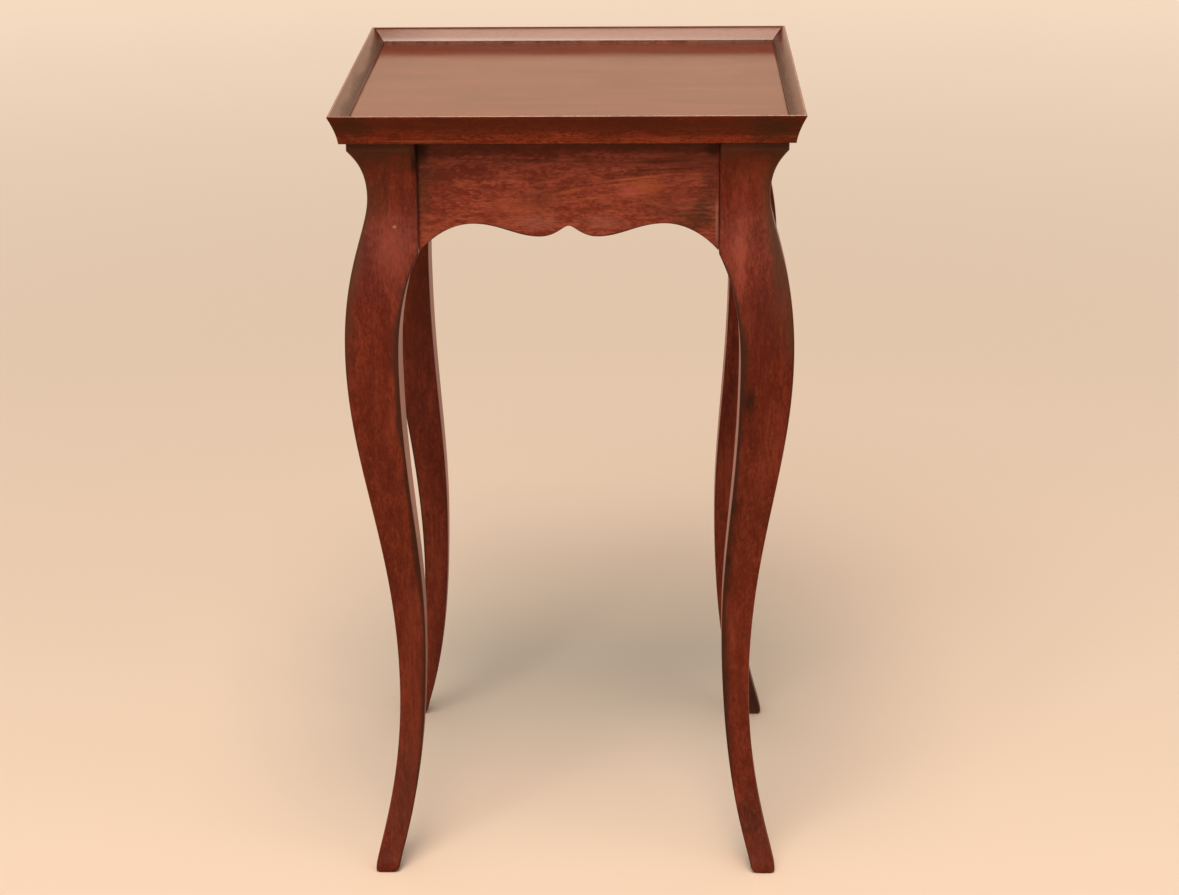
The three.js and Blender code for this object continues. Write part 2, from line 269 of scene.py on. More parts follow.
# Each lamp's place, width, length, watts and colour
LAMPS = {
    "key_lamp": ((-0.6, -1.9, 3.0), 1.6, 1.6, 42.0, (1.0, 0.94, 0.87)),
    "fill_lamp": ((1.8, -1.6, 1.9), 1.8, 1.8, 9.0, (1.0, 0.94, 0.87)),
    "top_lamp": ((0.0, -0.85, 2.55), 0.75, 1.3, 32.0, (1.0, 0.71, 0.54)),
}
LAMP_AIM = Vector((0.0, 0.0, 0.4))


def new_object(name, data):
    thing = bpy.data.objects.new(name, data)
    bpy.context.scene.collection.objects.link(thing)
    return thing


def make_camera():
    camera = new_object("camera", bpy.data.cameras.new("camera"))
    camera.data.sensor_width = SENSOR_WIDTH
    camera.data.lens = CAMERA_LENS
    camera.matrix_world = (
        Matrix.Translation(CAMERA_PLACE)
        @ Matrix.Rotation(-CAMERA_YAW, 4, "Z")
        @ Matrix.Rotation(QUARTER_TURN - CAMERA_PITCH, 4, "X")
        @ Matrix.Rotation(CAMERA_ROLL, 4, "Z")
    )
    bpy.context.scene.camera = camera


class Board:
    """A shader tree with short ways to add nodes. An input is a value or a socket."""

    def __init__(self, tree):
        self.tree = tree

    def add(self, kind, inputs=None, **settings):
        node = self.tree.nodes.new(kind)
        for name, value in settings.items():
            setattr(node, name, value)
        for place, value in (inputs or {}).items():
            socket = node.inputs[place]
            if isinstance(value, bpy.types.NodeSocket):
                self.tree.links.new(value, socket)
            else:
                socket.default_value = value
        return node

    def math(self, operation, first, second=0.0, third=0.0):
        inputs = {0: first, 1: second, 2: third}
        return self.add("ShaderNodeMath", inputs, operation=operation).outputs[0]

    def times(self, first, second):
        return self.math("MULTIPLY", first, second)

    def vector(self, operation, first, second=(0.0, 0.0, 0.0)):
        return self.add("ShaderNodeVectorMath", {0: first, 1: second}, operation=operation).outputs

    def stretch(self, vector, pattern):
        along, across = pattern
        return self.vector("MULTIPLY", vector, (along, across, across))[0]

    def part(self, vector, axis):
        return self.add("ShaderNodeSeparateXYZ", {0: vector}).outputs[axis]

    def place(self, kind="Object"):
        return self.add("ShaderNodeTexCoord").outputs[kind]

    def noise(self, vector, detail=2.0, roughness=0.5, distortion=0.0):
        inputs = {"Vector": vector, "Scale": 1.0, "Detail": detail, "Roughness": roughness,
                  "Distortion": distortion}
        return self.add("ShaderNodeTexNoise", inputs).outputs["Fac"]

    def ramp(self, value, limits, start=0.0, end=1.0):
        """From start to end, smoothly, as the value goes from one limit to the other."""
        inputs = {"Value": value, "From Min": limits[0], "From Max": limits[1],
                  "To Min": start, "To Max": end}
        return self.add("ShaderNodeMapRange", inputs, interpolation_type="SMOOTHSTEP").outputs[0]

    def mix(self, share, first, second):
        """The second colour over the first. A colour is red, green and blue, or a socket."""
        first, second = ((*colour, 1.0) if isinstance(colour, tuple) else colour
                         for colour in (first, second))
        inputs = {0: share, 6: first, 7: second}
        return self.add("ShaderNodeMix", inputs, data_type="RGBA").outputs[2]

    def bump(self, strength, distance, height):
        inputs = {"Strength": strength, "Distance": distance, "Height": height}
        return self.add("ShaderNodeBump", inputs).outputs[0]

    def attribute(self, name, output="Fac"):
        return self.add("ShaderNodeAttribute", attribute_name=name).outputs[output]

    def group(self, tree, **inputs):
        return self.add("ShaderNodeGroup", inputs, node_tree=tree).outputs


def new_group(name, vectors, numbers, outputs):
    """A node group with sockets of these names and no nodes: its board, and its inputs."""
    tree = bpy.data.node_groups.new(name, "ShaderNodeTree")
    for way, kind, labels in (("INPUT", "Vector", vectors), ("INPUT", "Float", numbers),
                              ("OUTPUT", "Float", outputs)):
        for label in labels:
            tree.interface.new_socket(label, in_out=way, socket_type=f"NodeSocket{kind}")
    board = Board(tree)
    return board, board.add("NodeGroupInput").outputs


def close_group(board, **values):
    board.add("NodeGroupOutput", values)
    return board.tree


def make_timber_figure():
    """Timber: broad figure, growth bands, mottling, fibre streaks and open pores."""
    board, given = new_group("timber_figure", ["Grain"], ["Bands", "Mottle"],
                             ["Figure", "Streak", "Pore", "Height"])
    grain = given["Grain"]
    cloud = board.noise(board.stretch(grain, CLOUD), detail=3.0, distortion=0.7)
    wave = board.noise(board.stretch(grain, RING_WAVE))
    depth = board.vector("DOT_PRODUCT", grain, RING_WAY)["Value"]
    rings = board.math("MULTIPLY_ADD", depth, RING_COUNT, board.times(wave, RING_WANDER))
    band = board.math("SINE", board.times(rings, 2 * math.pi))
    mottle = board.noise(board.stretch(grain, MOTTLE), distortion=1.2)
    fleck = board.noise(board.stretch(grain, FLECK), detail=3.0, roughness=0.65)
    middle = (1 + FLECK_SHARE) / 2  # of the two together
    blotch = board.math("MULTIPLY_ADD", fleck, FLECK_SHARE, board.math("SUBTRACT", mottle, middle))
    figure = board.math("MULTIPLY_ADD", blotch, given["Mottle"], cloud)
    figure = board.math("MULTIPLY_ADD", band, given["Bands"], figure)
    fibre = board.noise(board.stretch(grain, FINE_FIBRE))
    coarse = board.noise(board.stretch(grain, COARSE_FIBRE), detail=3.0, roughness=0.6)
    coarse = board.times(coarse, 1 - FIBRE_SHARE)
    streak = board.math("MULTIPLY_ADD", fibre, FIBRE_SHARE, coarse)
    opened = board.ramp(board.noise(board.stretch(grain, OPEN_PORES), detail=1.0), PORES_OPEN)
    pore = board.times(opened, board.ramp(band, PORES_GROWN, FEWEST_PORES))
    height = board.math("MULTIPLY_ADD", fibre, FIBRE_SHARE, board.times(pore, -1.0))
    return close_group(board, Figure=figure, Streak=streak, Pore=pore, Height=height)


def make_toner_shade():
    """Toner rubbed into a piece: a thin dark line along each edge, and a broad uneven band, which
    also holds painted shade under the tray.
    """
    board, given = new_group("toner_shade", ["Grain"], ["Edge", "Line", "Reach", "Width"],
                             ["Line", "Band"])
    uneven = board.noise(board.stretch(given["Grain"], UNEVEN_TONER), detail=3.0)
    swell = board.ramp(uneven, UNEVEN, *TONER_SWELL)
    line = board.math("DIVIDE", given["Edge"], board.times(given["Line"], swell))
    band = board.math("DIVIDE", given["Reach"], board.times(given["Width"], swell))
    return close_group(board, Line=board.ramp(line, LINE_FADE, 1.0, 0.0),
                       Band=board.ramp(band, BAND_FADE, 1.0, 0.0))


def make_blemish():
    """A soft-edged mark at one place, broken up along the grain."""
    board, given = new_group("blemish", ["Place", "Grain", "Centre", "Size"],
                             ["Lean", "Ragged"], ["Mark"])
    apart = board.vector("SUBTRACT", given["Place"], given["Centre"])[0]
    apart = board.add("ShaderNodeVectorRotate", {"Vector": apart, "Angle": given["Lean"]},
                      rotation_type="Y_AXIS").outputs[0]
    reach = board.vector("LENGTH", board.vector("DIVIDE", apart, given["Size"])[0])["Value"]
    fringe = board.noise(board.stretch(given["Grain"], MARK_FRINGE), detail=3.0, roughness=0.6)
    fringe = board.math("SUBTRACT", fringe, 0.5)
    reach = board.math("MULTIPLY_ADD", fringe, given["Ragged"], reach)
    return close_group(board, Mark=board.ramp(reach, MARK_FADE, 1.0, 0.0))


def make_lacquer():
    """Rubbed lacquer: its roughness, which handling and haze vary, and its slight ripple."""
    board, given = new_group("rubbed_lacquer", ["Place"], ["Gloss"], ["Roughness", "Height"])
    hazy = board.noise(board.stretch(given["Place"], HAZE), detail=2.0)
    handled = board.noise(board.stretch(given["Place"], HANDLING), detail=4.0)
    handled = board.times(handled, HANDLING_SHARE)
    change = board.math("MULTIPLY_ADD", hazy, HAZE_SHARE, handled)
    middle = (HANDLING_SHARE + HAZE_SHARE) / 2
    rough = board.math("ADD", given["Gloss"], board.math("SUBTRACT", change, middle))
    ripple = board.noise(board.stretch(given["Place"], RIPPLE), detail=1.0)
    return close_group(board, Roughness=rough, Height=ripple)


TIMBER_FIGURE = make_timber_figure()
TONER_SHADE = make_toner_shade()
BLEMISH = make_blemish()
LACQUER = make_lacquer()


def new_material(name):
    """The board of a new material with no nodes."""
    material = bpy.data.materials.new(name)
    material.use_nodes = True
    material.node_tree.nodes.clear()
    return Board(material.node_tree)


def finish_material(board, inputs):
    shader = board.add("ShaderNodeBsdfPrincipled", inputs)
    board.add("ShaderNodeOutputMaterial", {"Surface": shader.outputs[0]})


def make_stained_wood(name, dark, middle, light, bands, mottle, streaks, line_width,
                      band_width, toner_and_shade_tint, gloss, relief=0.35, marks=()):
    """Red-brown stain under clear lacquer, with darker toner along the edges and painted shade and
    highlight in its bands and marks.
    """
    board = new_material(name)
    grain = board.attribute("grain", "Vector")
    place = board.place()
    timber = board.group(TIMBER_FIGURE, Grain=grain, Bands=bands, Mottle=mottle)
    colour = board.mix(board.ramp(timber["Figure"], DARK_TO_MIDDLE), dark, middle)
    colour = board.mix(board.ramp(timber["Figure"], MIDDLE_TO_LIGHT), colour, light)
    colour = board.mix(board.ramp(timber["Streak"], STREAKED, streaks, 0.0), colour, dark)
    colour = board.mix(board.times(timber["Pore"], PORE_COVER), colour, PORE)
    toner = board.group(TONER_SHADE, Grain=grain, Edge=board.attribute("edge"), Line=line_width,
                        Reach=board.attribute("toner_and_shade"), Width=band_width)
    # the band: toner, and painted shade under the tray and under the rim's lip
    colour = board.mix(board.times(toner["Band"], BAND_COVER), colour, toner_and_shade_tint)
    colour = board.mix(board.times(toner["Line"], LINE_COVER), colour, LINE_TONER_AND_SHADE)
    # the lip rubbed pale, partly a painted highlight along the nose
    wear = board.ramp(board.attribute("worn"), (LIP_WEAR / 2, LIP_WEAR), WEAR_COVER, 0.0)
    patchy = board.ramp(timber["Figure"], PATCHY_WEAR, LEAST_WEAR)
    colour = board.mix(board.times(wear, patchy), colour, LIP_RUBBED_AND_HIGHLIGHT)
    for centre, size, lean, ragged, tint, strength in marks:
        blemish = board.group(BLEMISH, Place=place, Grain=grain, Centre=centre, Size=size,
                              Lean=lean, Ragged=ragged)
        colour = board.mix(board.times(blemish["Mark"], strength), colour, tint)
    bare = board.attribute("bare")
    raw = board.mix(board.ramp(timber["Streak"], PLAIN_RANGE), RAW_DARK, RAW_LIGHT)
    colour = board.mix(bare, colour, raw)
    lacquer = board.group(LACQUER, Place=place, Gloss=gloss)
    rough = board.math("MULTIPLY_ADD", toner["Line"], LINE_DULLS, lacquer["Roughness"])
    rough = board.math("MULTIPLY_ADD", bare, BARE_DULLS, rough)
    height = board.math("MULTIPLY_ADD", timber["Height"], TIMBER_SHARE, lacquer["Height"])
    finish_material(board, {"Base Color": colour, "Roughness": rough, "IOR": LACQUER_IOR,
                            "Normal": board.bump(relief, FINISH_DEPTH, height)})


def make_block_wood():
    """Bare sawn hardwood for the corner blocks, with the saw's marks across it."""
    board = new_material("sawn_block_wood")
    grain = board.attribute("grain", "Vector")
    timber = board.group(TIMBER_FIGURE, Grain=grain, Bands=0.08, Mottle=0.2)
    colour = board.mix(board.ramp(timber["Figure"], PLAIN_RANGE), BLOCK_DARK, BLOCK_LIGHT)
    streaked = board.ramp(timber["Streak"], BLOCK_STREAKED, BLOCK_STREAK_COVER, 0.0)
    colour = board.mix(streaked, colour, BLOCK_STREAK)
    saw = board.math("SINE", board.times(board.part(grain, "X"), SAW_MARKS))
    height = board.math("MULTIPLY_ADD", saw, SAW_SHARE, timber["Streak"])
    finish_material(board, {"Base Color": colour, "Roughness": BLOCK_ROUGHNESS,
                            "Normal": board.bump(BLOCK_RELIEF, SAWN_DEPTH, height)})


def make_zinc():
    """Dull zinc on the screws, clouded and a little stained."""
    board = new_material("zinc_plate")
    cloud = board.noise(board.stretch(board.place(), ZINC_CLOUD), detail=3.0)
    colour = board.mix(board.ramp(cloud, PLAIN_RANGE), ZINC_DARK, ZINC_LIGHT)
    rough = board.ramp(cloud, PLAIN_RANGE, *ZINC_ROUGHNESS)
    finish_material(board, {"Base Color": colour, "Roughness": rough, "Metallic": 1.0})


def mark(x, y, z, half_width, half_height, tint, strength, lean=0.0, ragged=1.2):
    """One mark on a face towards the front. Its sizes are in millimetres, its lean in radians."""
    return (Vector((x, y, z)) * MM, Vector((half_width, MARK_DEPTH, half_height)) * MM, lean,
            ragged, tint, strength)


LEG_MARKS = [
    mark(-132, -160, 545.1, 2, 1.6, PALE_WEAR, 0.8, ragged=0.3),
    mark(138.6, -165, 409, 7, 17, DARK_STAIN_AND_SHADE, 0.8),
    mark(161.9, -168, 486.3, 5, 14, SCUFF_AND_TOE_SHEEN, 0.35),
    # painted sheen on the right toe
    mark(149.4, -172, 11, 10, 3.6, SCUFF_AND_TOE_SHEEN, 0.55),
    # toner and painted shade under the tray on the crowns
    mark(-150, -165, 602, 32, 22, BROWN_TONER_AND_SHADE, 0.6),
    mark(155, -165, 605, 28, 14, BROWN_TONER_AND_SHADE, 0.6),
    mark(159, -158, 550, 10, 46, BROWN_TONER_AND_SHADE, 0.6),
    mark(-142, -160, 566, 11, 30, BROWN_TONER_AND_SHADE, 0.35),
    # painted highlights on the knees
    mark(-133, -160, 524, 22, 46, KNEE_PAINTED_HIGHLIGHT, 0.42, ragged=1.6),
    mark(128, -160, 530, 14, 46, KNEE_PAINTED_HIGHLIGHT, 0.3, ragged=1.6),
    mark(130.5, -160, 521, 7, 42, KNEE_PAINTED_HIGHLIGHT, 0.6),
    mark(-138.6, -160, 80, 20, 70, FOOT_SHADE, 0.75),
    mark(150, -165, 45, 22, 70, FOOT_SHADE, 0.6),
    mark(141.5, -163, 52, 17, 34, DARK_STAIN_AND_SHADE, 0.55),
    mark(-142, -163, 73, 17, 28, DARK_STAIN_AND_SHADE, 0.25),
    # stain and painted shade at the top of the left joint
    mark(-114.5, -155, 604, 6, 14, DARK_STAIN_AND_SHADE, 0.9, ragged=0.5),
    mark(-115.6, -155, 593.5, 3.5, 11, DARK_STAIN_AND_SHADE, 0.95, ragged=0.5),
    mark(126.8, -150, 316.5, 3, 7, DARK_STAIN_AND_SHADE, 0.6),
    mark(123.8, -150, 270.3, 2.5, 6, DARK_STAIN_AND_SHADE, 0.7),
    mark(132.7, -150, 324, 2.5, 5, DARK_STAIN_AND_SHADE, 0.5),
    # painted sheen on the left toe
    mark(-151.8, -172, 13, 14, 8, SCUFF_AND_TOE_SHEEN, 0.4, ragged=0.6),
    # painted shade on the back right foot
    mark(159.4, 142, 29, 16, 60, DARK_STAIN_AND_SHADE, 0.9, ragged=0.6),
    mark(-130, -158, 130, 28, 150, FOOT_SHADE, 0.6),
    mark(-148, -165, 42, 12, 40, FOOT_SHADE, 0.45),
    mark(150, -165, 482, 24, 46, DARK_FLAME, 0.38),
    mark(160, -162, 500, 13, 70, BROWN_TONER_AND_SHADE, 0.4),
    # painted shade of the tray on the back left leg
    mark(-135, 122, 440, 60, 130, FOOT_SHADE, 0.45),
]

APRON_MARKS = [
    mark(-32.9, -151, 558.5, 26, 8, LIGHT_FLAME_AND_HIGHLIGHT, 0.35, ragged=2),
    mark(-30, -151, 567, 20, 5, DARK_FLAME, 0.35, ragged=2),
    mark(60.3, -151, 574.2, 17, 10, ORANGE_FLAME, 0.5, ragged=1.6),
    mark(46.7, -151, 571.2, 14, 7, PINK_FLAME, 0.55, ragged=1.6),
    mark(84, -151, 566, 12, 9, PINK_FLAME, 0.3, ragged=1.8),
    mark(-2.5, -151, 570.5, 20, 2.2, LIGHT_FLAME_AND_HIGHLIGHT, 0.6, lean=0.2, ragged=0.8),
    mark(18, -151, 566, 22, 1.6, LIGHT_FLAME_AND_HIGHLIGHT, 0.5, lean=0.16, ragged=0.8),
    mark(52.3, -151, 581.2, 50, 1.3, LIGHT_FLAME_AND_HIGHLIGHT, 0.8, lean=0.113, ragged=0.4),
    mark(44, -151, 577, 34, 1.2, LIGHT_FLAME_AND_HIGHLIGHT, 0.5, lean=0.14, ragged=0.8),
    mark(66, -151, 606.2, 56, 1.6, BROWN_TONER_AND_SHADE, 0.6, lean=0.02, ragged=0.8),
    mark(70, -151, 593.9, 50, 2.4, DARK_FLAME, 0.8, lean=0.03, ragged=0.8),
    mark(76, -151, 588, 40, 1.5, DARK_FLAME, 0.75, lean=0.04, ragged=0.8),
    mark(109, -151, 602, 9, 9, DARK_STAIN_AND_SHADE, 0.6, ragged=0.7),
    mark(46, -151, 603.5, 28, 5, BROWN_TONER_AND_SHADE, 0.35),
    mark(-16, -151, 570, 17, 9, DARK_FLAME, 0.35, ragged=1.8),
    mark(72, -151, 558, 32, 15, BROWN_TONER_AND_SHADE, 0.28),
    mark(108, -151, 578, 10, 17, DARK_FLAME, 0.55),
    mark(-30, -151, 595, 60, 2, BROWN_TONER_AND_SHADE, 0.5, lean=-0.02, ragged=1),
    mark(101, -151, 559, 8, 13, BROWN_TONER_AND_SHADE, 0.6, lean=0.5, ragged=2.6),
    mark(96, -151, 549, 22, 12, BROWN_TONER_AND_SHADE, 0.55, lean=0.25, ragged=2.8),
    mark(98, -151, 552, 30, 26, BROWN_TONER_AND_SHADE, 0.3, ragged=2),
    mark(105, -151, 563, 10, 18, BROWN_TONER_AND_SHADE, 0.4, ragged=2),
    # stain and painted shade at the top of the left joint
    mark(-111.5, -151, 603, 10, 14, DARK_STAIN_AND_SHADE, 0.9, ragged=0.5),
    mark(-113.4, -151, 574, 1.8, 50, DARK_STAIN_AND_SHADE, 0.8, ragged=0.3),
    mark(-109.5, -151, 572, 7, 36, BROWN_TONER_AND_SHADE, 0.5),
    mark(112.4, -151, 546, 1.9, 25, PALE_WEAR, 0.42, ragged=0.8),
    mark(-105, -151, 586, 16, 14, BROWN_TONER_AND_SHADE, 0.35, ragged=2),
    mark(-24, -151, 547, 24, 9, DUSTY_FLAME, 0.3, ragged=2),
    mark(26, -151, 547, 24, 9, DUSTY_FLAME, 0.3, ragged=2),
    mark(-20, -151, 560, 34, 7, DARK_FLAME, 0.22, ragged=2.4),
]

RIM_MARKS = [
    mark(156, -172, 624, 32, 14, OLIVE_TONER, 0.75, ragged=1.6),
    mark(-160, -172, 626, 22, 14, OLIVE_TONER, 0.6, ragged=1.6),
    mark(-120, -172, 627, 11, 6, DARK_FLAME, 0.75),
    mark(-96, -172, 625, 30, 2.6, DARK_FLAME, 0.5),
    # painted highlight along the foot of the front rim
    mark(-108, -172, 614.6, 44, 1.2, LIGHT_FLAME_AND_HIGHLIGHT, 0.4, ragged=0.6),
    mark(20, -172, 628, 26, 3, DARK_FLAME, 0.4),
    mark(112, -172, 621.5, 34, 2.2, DARK_FLAME, 0.55, ragged=0.8),
    mark(118, -170, 616.5, 22, 3, RED_FLAME, 0.45, ragged=1.8),
    mark(-141, -170, 616.5, 9, 3, RED_FLAME, 0.5, ragged=1.6),
    mark(-113, -170, 618.5, 12, 3.4, RED_FLAME, 0.4, ragged=1.6),
    mark(-52, -172, 621, 22, 2, DARK_FLAME, 0.5, ragged=1),
    mark(60, -172, 618, 26, 2.4, RED_FLAME, 0.35, ragged=1.8),
]

def make_materials():
    make_stained_wood(
        "leg_mahogany", (0.1, 0.011, 0.004), (0.165, 0.023, 0.0085), (0.235, 0.04, 0.017),
        bands=0.02, mottle=0.6, streaks=0.55, line_width=1.3 * MM, band_width=10.0 * MM,
        toner_and_shade_tint=(0.085, 0.03, 0.012), gloss=0.34, marks=LEG_MARKS)
    make_stained_wood(
        "apron_mahogany", (0.15, 0.022, 0.01), (0.26, 0.048, 0.023), (0.36, 0.08, 0.042),
        bands=0.03, mottle=0.9, streaks=0.55, line_width=1.2 * MM, band_width=17.0 * MM,
        toner_and_shade_tint=(0.085, 0.02, 0.008), gloss=0.34, marks=APRON_MARKS)
    make_stained_wood(
        "rim_mahogany", (0.11, 0.015, 0.005), (0.19, 0.03, 0.011), (0.25, 0.046, 0.018),
        bands=0.06, mottle=1.1, streaks=0.6, line_width=RIM_LINE, band_width=13.0 * MM,
        toner_and_shade_tint=(0.075, 0.013, 0.005), gloss=0.16, relief=0.4, marks=RIM_MARKS)
    make_stained_wood(
        "tray_mahogany", (0.14, 0.038, 0.021), (0.17, 0.046, 0.026), (0.2, 0.054, 0.03),
        bands=0.03, mottle=0.2, streaks=0.15, line_width=0.1 * MM, band_width=3.0 * MM,
        toner_and_shade_tint=(0.085, 0.02, 0.008), gloss=0.15, relief=0.06)
    make_block_wood()
    make_zinc()


def smooth_curve(places, values):
    """A curve with no kinks through points in order of place (a natural cubic spline)."""
    x, y = np.array(places, float), np.array(values, float)
    step, slope = np.diff(x), np.diff(y) / np.diff(x)
    count = len(x)
    system, wanted = np.eye(count), np.zeros(count)
    for row in range(1, count - 1):
        system[row, row - 1:row + 2] = step[row - 1], 2 * (step[row - 1] + step[row]), step[row]
        wanted[row] = 6 * (slope[row] - slope[row - 1])
    bend = np.linalg.solve(system, wanted)

    def at(place):
        low = int(np.clip(np.searchsorted(x, place) - 1, 0, count - 2))
        a, b = x[low + 1] - place, place - x[low]
        cubic = (bend[low] * a ** 3 + bend[low + 1] * b ** 3) / (6 * step[low])
        first = y[low] / step[low] - bend[low] * step[low] / 6
        second = y[low + 1] / step[low] - bend[low + 1] * step[low] / 6
        return float(cubic + first * a + second * b)

    return at


def loft(sections):
    """Points and faces of a skin through closed sections of equal count, with flat ends."""
    count = len(sections[0])
    points = [point for section in sections for point in section]
    faces = []
    for level in range(len(sections) - 1):
        for side in range(count):
            a, b = level * count + side, level * count + (side + 1) % count
            faces.append((a, b, b + count, a + count))
    top = (len(sections) - 1) * count
    faces.append(tuple(reversed(range(count))))
    faces.append(tuple(range(top, top + count)))
    return points, faces


def new_mesh(name, points, faces):
    mesh = bpy.data.meshes.new(name)
    mesh.from_pydata(points, [], faces)
    work = bmesh.new()
    work.from_mesh(mesh)
    bmesh.ops.recalc_face_normals(work, faces=work.faces)
    work.to_mesh(mesh)
    work.free()
    return mesh


def prism(name, plan, low, high):
    """An upright body on a plan, from one height to another."""
    return new_mesh(name, *loft([[(x, y, z) for x, y in plan] for z in (low, high)]))


def box_mesh(low, high):
    plan = [(low.x, low.y), (high.x, low.y), (high.x, high.y), (low.x, high.y)]
    return prism("cutter", plan, low.z, high.z)


def bar_mesh(radius, start, end):
    """A round bar from one point to another."""
    way = (end - start).normalized()
    turn = Vector((0, 0, 1)).rotation_difference(way)
    circle = [Vector((math.cos(angle), math.sin(angle), 0)) * radius
              for angle in np.linspace(0, 2 * math.pi, ROUND_SIDES, endpoint=False)]
    return new_mesh("cutter", *loft([[centre + turn @ point for point in circle]
                                     for centre in (start, end)]))


def carve(mesh, cutters, operation="DIFFERENCE"):
    """The mesh with other meshes cut from it or joined to it."""
    body = new_object("body", mesh)
    tools = [new_object("tool", cutter) for cutter in cutters]
    for tool in tools:
        change = body.modifiers.new("cut", "BOOLEAN")
        change.operation = operation
        change.solver = "EXACT"
        change.object = tool
    shown = body.evaluated_get(bpy.context.evaluated_depsgraph_get())
    carved = bpy.data.meshes.new_from_object(shown)
    for spent in [body, *tools]:
        bpy.data.objects.remove(spent)
    return carved


def set_attribute(mesh, name, kind, values):
    layer = mesh.attributes.get(name) or mesh.attributes.new(name, kind, "POINT")
    field = "vector" if kind == "FLOAT_VECTOR" else "value"
    layer.data.foreach_set(field, np.array(values, np.float32).ravel())


def set_surface(mesh, edge, toner_and_shade=lambda point: 1.0, bare=lambda point: 0.0,
                worn=lambda point: 1.0):
    """Per point: how far the nearest edge, the band of toner and painted shade, and the wear and
    painted highlight are, and 1 on bare wood.
    """
    for name, measure in (("edge", edge), ("toner_and_shade", toner_and_shade), ("bare", bare), ("worn", worn)):
        set_attribute(mesh, name, "FLOAT", [measure(vertex.co) for vertex in mesh.vertices])


# Which way a piece's grain runs, as the turn that brings it to X
GRAIN_TURNS = {"along": Matrix.Identity(3),
               "upright": Matrix(((0, 0, 1), (1, 0, 0), (0, 1, 0))),
               "corner": Matrix.Rotation(QUARTER_TURN / 2, 3, "Z")}


def add_piece(name, mesh, nodes, material, turn=0, grain="along"):
    """One piece in its place: turned by quarter turns, with its own stretch of grain."""
    own = mesh.copy()
    own.name = name
    places = np.array([GRAIN_TURNS[grain] @ vertex.co for vertex in own.vertices])
    cut = sum(ord(letter) for letter in name) % GRAIN_CUTS + turn
    set_attribute(own, "grain", "FLOAT_VECTOR", places + np.array(GRAIN_STEP * cut))
    own.transform(Matrix.Rotation(QUARTER_TURN * turn, 4, "Z"))
    own.shade_smooth()
    own.set_sharp_from_angle(angle=SHARP_ANGLE)
    own.materials.clear()
    own.materials.append(bpy.data.materials[material])
    piece = new_object(name, own)
    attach(piece, "root")
    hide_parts(*nodes)


# Where the part's own pieces lie
LEG_LOW, LEG_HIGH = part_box("leg_back_right")
APRON_LOW, APRON_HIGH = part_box("apron_back")
RIM_LOW, RIM_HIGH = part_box("rim_back")
PANEL_LOW, PANEL_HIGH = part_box("tray_panel")
BLOCK_LOW, BLOCK_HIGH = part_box("corner_block_back_right")
POST_FACE = LEG_LOW.x
LEG_TOP = LEG_HIGH.z
TENON_INNER = (APRON_LOW.y + APRON_HIGH.y - TENON_THICKNESS) / 2
TENON_FOOT = APRON_LOW.z + TENON_SHOULDER
TENON_TOP = APRON_HIGH.z - TENON_SHOULDER


def leg_edges():
    """The leg's inner and outer reach against height, from the sections of the part's own leg."""
    rings = {}
    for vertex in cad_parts["leg_back_right"].data.vertices:
        x, y, z = (round(part, 6) for part in vertex.co)
        rings.setdefault(z, set()).add((x, y))
    whole = sorted(z for z in rings if len(rings[z]) >= SECTION_POINTS)
    low = {z: min(x for x, _ in rings[z]) for z in whole}
    high = {z: max(x for x, _ in rings[z]) for z in whole}
    curved = [z for z in whole if z >= FOOT_EASE_HEIGHT - HAIRLINE]
    lip = curved[-2]
    below_post = [z for z in curved if low[z] > POST_FACE + HAIRLINE]
    foot_of_post = curved[len(below_post)]
    inner = smooth_curve(below_post + [foot_of_post], [low[z] for z in below_post] + [POST_FACE])
    outer = smooth_curve(curved[:-1], [high[z] for z in curved[:-1]])
    return (
        lambda z: inner(z) if z < foot_of_post else POST_FACE,
        lambda z: outer(min(z, lip)),
        [foot_of_post, lip],
    )


def leg_section(low, high, z):
    """Square section, anticlockwise: eased arrises and a slight crown on the two outer faces."""
    crowned = high - FACE_CROWN
    corners = [(crowned, crowned), (low, crowned), (low, low), (crowned, low)]
    loop = []
    for index, (x, y) in enumerate(corners):
        centre_x = x - math.copysign(ARRIS_RADIUS, x - (low + high) / 2)
        centre_y = y - math.copysign(ARRIS_RADIUS, y - (low + high) / 2)
        for step in range(ARRIS_STEPS + 1):
            angle = QUARTER_TURN * (index + step / ARRIS_STEPS)
            loop.append(Vector((centre_x + ARRIS_RADIUS * math.cos(angle),
                                centre_y + ARRIS_RADIUS * math.sin(angle), z)))
        near, far = low + ARRIS_RADIUS, crowned - ARRIS_RADIUS
        for step in range(1, FACE_STEPS):
            share = step / FACE_STEPS
            bulge = FACE_CROWN * 4 * share * (1 - share)
            down, up = far + (near - far) * share, near + (far - near) * share
            place = [(down, crowned + bulge), (low, down), (up, low), (crowned + bulge, up)][index]
            loop.append(Vector((*place, z)))
    return loop


